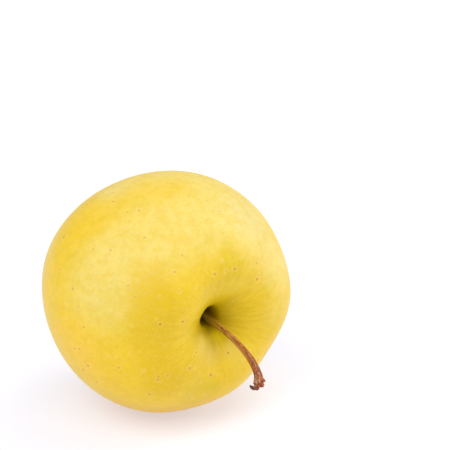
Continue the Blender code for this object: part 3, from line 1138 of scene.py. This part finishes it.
dried = Finish("dried_calyx", {"Roughness": 0.85, "IOR": 1.4})
calyx_place = dried.node("ShaderNodeTexCoord", out="Object")
veins = dried.noise(calyx_place, VEIN_GRAIN, 3.0, 0.6)
blotches = dried.noise(calyx_place, BLOTCH_GRAIN)
colour = dried.layered(
    CALYX_BROWN,
    (blotches.rise(0.4, 0.65), CALYX_TAN),
    (veins.rise(0.55, 0.75) * VEIN_SHARE, CALYX_VEIN),
)
dried.surface("Base Color", colour)
dried.bump(veins, VEIN_RELIEF)
lay_down("calyx_crown", calyx_mesh, "calyx", dried.material)

# %% [markdown]
# ## The table
# The apple lies on a white table that runs on into a white background. One large square is enough for
# it. Soft light alone would leave it grey, so it is given a faint glow of its own, which is painted light.
# The glow is weaker and a little blue round the apple, where its shadow and its golden light fall, and
# white further out.

# %% A white table
TABLE_REACH = 3.0
TABLE_GREY = (0.6, 0.6, 0.6, 1.0)
GLOW_BY_THE_APPLE = (0.40, 0.41, 0.51, 1.0)
GLOW_FAR_OUT = (0.75, 0.75, 0.75, 1.0)
GLOW_CHANGES = (0.08, 0.5)

table = Finish("white_table", {"Base Color": TABLE_GREY, "Roughness": 0.7, "Emission Strength": 1.0})
table_place = table.node("ShaderNodeTexCoord", out="Object")
far_out = table.node("ShaderNodeVectorMath", {"operation": "LENGTH"}, {"Vector": table_place}, "Value")
glow = table.mix(far_out.rise(*GLOW_CHANGES), GLOW_BY_THE_APPLE, GLOW_FAR_OUT)
table.surface("Emission Color", glow)
table_shape = bmesh.new()
bmesh.ops.create_grid(table_shape, x_segments=1, y_segments=1, size=TABLE_REACH)
table_mesh = bpy.data.meshes.new("table_top")
table_shape.to_mesh(table_mesh)
table_shape.free()
table_mesh.materials.append(table.material)
table_top = in_scene("table_top", table_mesh)
print("the table is", 2 * TABLE_REACH, "m wide")

# %% [markdown]
# ## The light
# The picture was made in bright, even light. A white room fills the shadows, and four big round lamps
# give the skin its soft sheens, one on each side and two overhead. The camera sees the room brighter
# than it lights the apple, so that the background is clean white while the apple keeps its depth.

# %% A white room and four soft lamps
WHITE = (1.0, 1.0, 1.0, 1.0)
ROOM_LIGHT = 0.525
EXTRA_FOR_THE_CAMERA = 0.5
LAMP_DISTANCE = 0.9
LAMP_WIDTH = 0.7
# A lamp is its name, its direction from the apple and its watts.
LAMPS = (
    ("left_window", (-0.66, -0.10, 0.74), 2.6),
    ("over_the_camera", (-0.266, -0.45, 0.85), 1.70),
    ("over_the_right", (0.46, -0.05, 0.90), 1.95),
    ("right_window", (0.88, -0.30, 0.28), 2.3),
)

scene = bpy.context.scene
scene.view_settings.view_transform = "Standard"
world = bpy.data.worlds.new("white_room")
world.use_nodes = True
scene.world = world
room = Graph(world.node_tree)
background = world.node_tree.nodes["Background"].inputs
seen_by_camera = room.node("ShaderNodeLightPath", out="Is Camera Ray")
room.feed(background["Color"], WHITE)
room.feed(background["Strength"], seen_by_camera * EXTRA_FOR_THE_CAMERA + ROOM_LIGHT)
for name, direction, watts in LAMPS:
    lamp = bpy.data.lights.new(name, "AREA")
    lamp.shape, lamp.size, lamp.energy = "DISK", LAMP_WIDTH, watts
    holder = in_scene(name, lamp)
    holder.location = FRUIT_CENTRE + Vector(direction).normalized() * LAMP_DISTANCE
    holder.rotation_euler = (FRUIT_CENTRE - holder.location).to_track_quat("-Z", "Y").to_euler()
print("lamps:", [lamp.name for lamp in bpy.data.lights])

# %% [markdown]
# ## The camera
# A long lens from a short way off keeps the apple's shape honest, as a product photographer would. The
# apple isn't in the middle of the picture. Shifting the lens would put it off the middle too, but a camera
# that is turned a little needs no shift. Its direction is found in rounds: look where the fruit's centre
# falls, and turn by what is missing.

# %% A long lens, aimed off the apple's centre
LENS = 100.0
SENSOR = 36.0
IMAGE_SIZE = 450
FOCAL_PIXELS = LENS / SENSOR * IMAGE_SIZE
VIEW_ELEVATION = math.radians(21.0)
VIEW_AZIMUTH = math.radians(-33.0)
VIEW_DISTANCE = 0.388
CENTRE_IN_IMAGE = (165.5, 289.6)
AIMING_ROUNDS = 20


def aimed_camera():
    """A camera that shows the fruit's centre at its place in the image, level and with no shift."""
    level = Vector((math.sin(VIEW_AZIMUTH), -math.cos(VIEW_AZIMUTH), 0)) * math.cos(VIEW_ELEVATION)
    towards_eye = level + Vector((0, 0, math.sin(VIEW_ELEVATION)))
    half = IMAGE_SIZE / 2
    right_share = (CENTRE_IN_IMAGE[0] - half) / FOCAL_PIXELS
    up_share = (half - CENTRE_IN_IMAGE[1]) / FOCAL_PIXELS
    forward = -towards_eye
    for _ in range(AIMING_ROUNDS):
        right = forward.cross(Vector((0, 0, 1))).normalized()
        up = right.cross(forward)
        depth = -towards_eye.dot(forward)
        forward = forward + right * (-towards_eye.dot(right) / depth - right_share)
        forward = (forward + up * (-towards_eye.dot(up) / depth - up_share)).normalized()
    right = forward.cross(Vector((0, 0, 1))).normalized()
    turned = Matrix((right, right.cross(forward), -forward)).transposed().to_4x4()
    lens = bpy.data.cameras.new("camera")
    lens.lens, lens.sensor_width = LENS, SENSOR
    holder = in_scene("camera", lens)
    holder.matrix_world = Matrix.Translation(FRUIT_CENTRE + towards_eye * VIEW_DISTANCE) @ turned
    return holder


scene.camera = aimed_camera()
print("the camera is at", [round(c, 3) for c in scene.camera.matrix_world.translation])

# %% [markdown]
